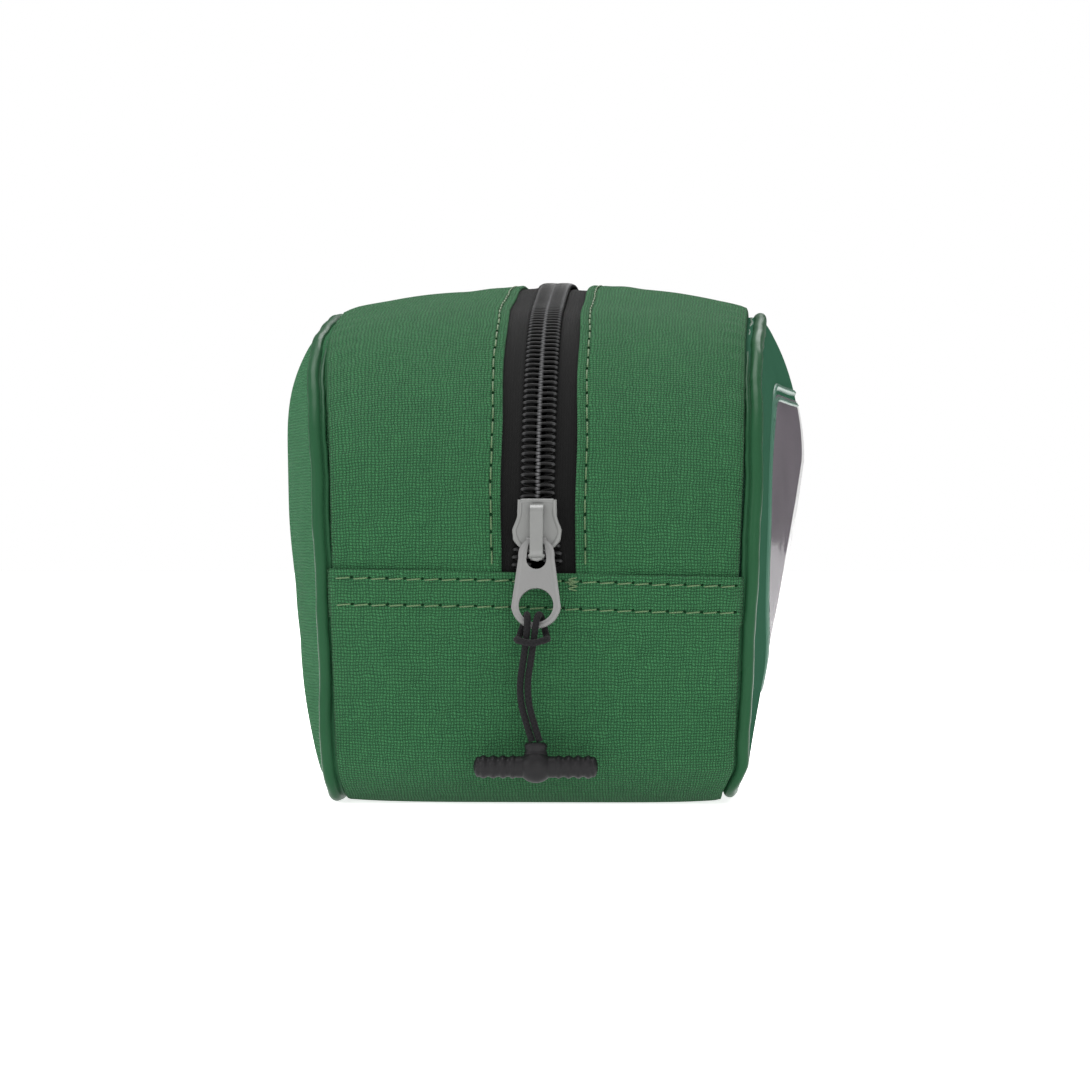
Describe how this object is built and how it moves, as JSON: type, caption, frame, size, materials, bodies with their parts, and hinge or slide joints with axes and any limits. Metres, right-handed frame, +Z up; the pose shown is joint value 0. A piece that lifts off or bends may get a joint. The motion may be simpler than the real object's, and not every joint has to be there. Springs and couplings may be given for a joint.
{
  "type": "zipped wash bag",
  "caption": "Soft zipped wash bag with a woven strip between two piped, domed side panels, a coil zip over its rounded top, and a slider with a corded toggle.",
  "frame": {"origin": "centre of the flat base, on the surface that the bag stands on", "axes": "+Z up; the length lies along Y with the closed end of the zip towards -Y; +X is the side with the clear window"},
  "size_m": [0.1128, 0.2285, 0.1053],
  "materials": {
    "woven_green": "plain woven polyester, soft sheen",
    "woven_green_side": "plain woven polyester, soft sheen",
    "vinyl_green": "smooth supple vinyl, satin",
    "piping_green": "woven cover, matte",
    "core_white": "extruded piping core",
    "binding_black": "woven binding tape",
    "thread_olive": "twisted polyester thread",
    "tape_black": "woven zip tape",
    "coil_black": "nylon monofilament, silvery highlights",
    "slider_grey": "light grey painted zinc, satin",
    "spring_steel": "spring steel",
    "cord_black": "braided cord",
    "toggle_black": "moulded, satin",
    "insert_grey": "plain printed card",
    "clear_vinyl": "clear flexible vinyl",
    "rim_vinyl": "thick clear vinyl edge"
  },
  "bodies": {
    "bag": {"lower_gusset": "woven_green", "upper_gusset_left": "woven_green", "upper_gusset_right": "woven_green", "side_panel_left": "woven_green_side", "side_panel_right": "vinyl_green", "piping_left": "piping_green", "piping_right": "piping_green", "piping_core_left": "core_white", "piping_core_right": "core_white", "seam_binding_left": "binding_black", "seam_binding_right": "binding_black", "thread_front_seam": "thread_olive", "thread_rear_seam": "thread_olive", "thread_zip_left": "thread_olive", "thread_zip_right": "thread_olive", "zip_tape_left": "tape_black", "zip_tape_right": "tape_black", "zip_coil_left": "coil_black", "zip_coil_right": "coil_black", "window_backing": "insert_grey", "window_sheet": "clear_vinyl", "window_rim": "rim_vinyl"},
    "slider": {"slider_body": "slider_grey", "slider_cap": "slider_grey", "lock_spring": "spring_steel"},
    "pull_tab": {"pull_tab": "slider_grey"},
    "pull_cord": {"pull_cord": "cord_black", "toggle": "toggle_black"}
  },
  "joints": [
    {"name": "slider_travel", "type": "hinge", "parent": "bag", "child": "slider", "pos_m": [0, -0.055, 0.045], "axis": [-1, 0, 0], "range_deg": [0, 64], "deforming": ["zip_coil_left", "zip_coil_right"]},
    {"name": "pull_tab_swing", "type": "hinge", "parent": "slider", "child": "pull_tab", "pos_m": [0, -0.1115, 0.05151], "axis": [-1, 0, 0], "range_deg": [0, 150]},
    {"name": "cord_swing", "type": "hinge", "parent": "pull_tab", "child": "pull_cord", "pos_m": [0, -0.11424, 0.03512], "axis": [-1, 0, 0], "range_deg": [0, 45]}
  ]
}
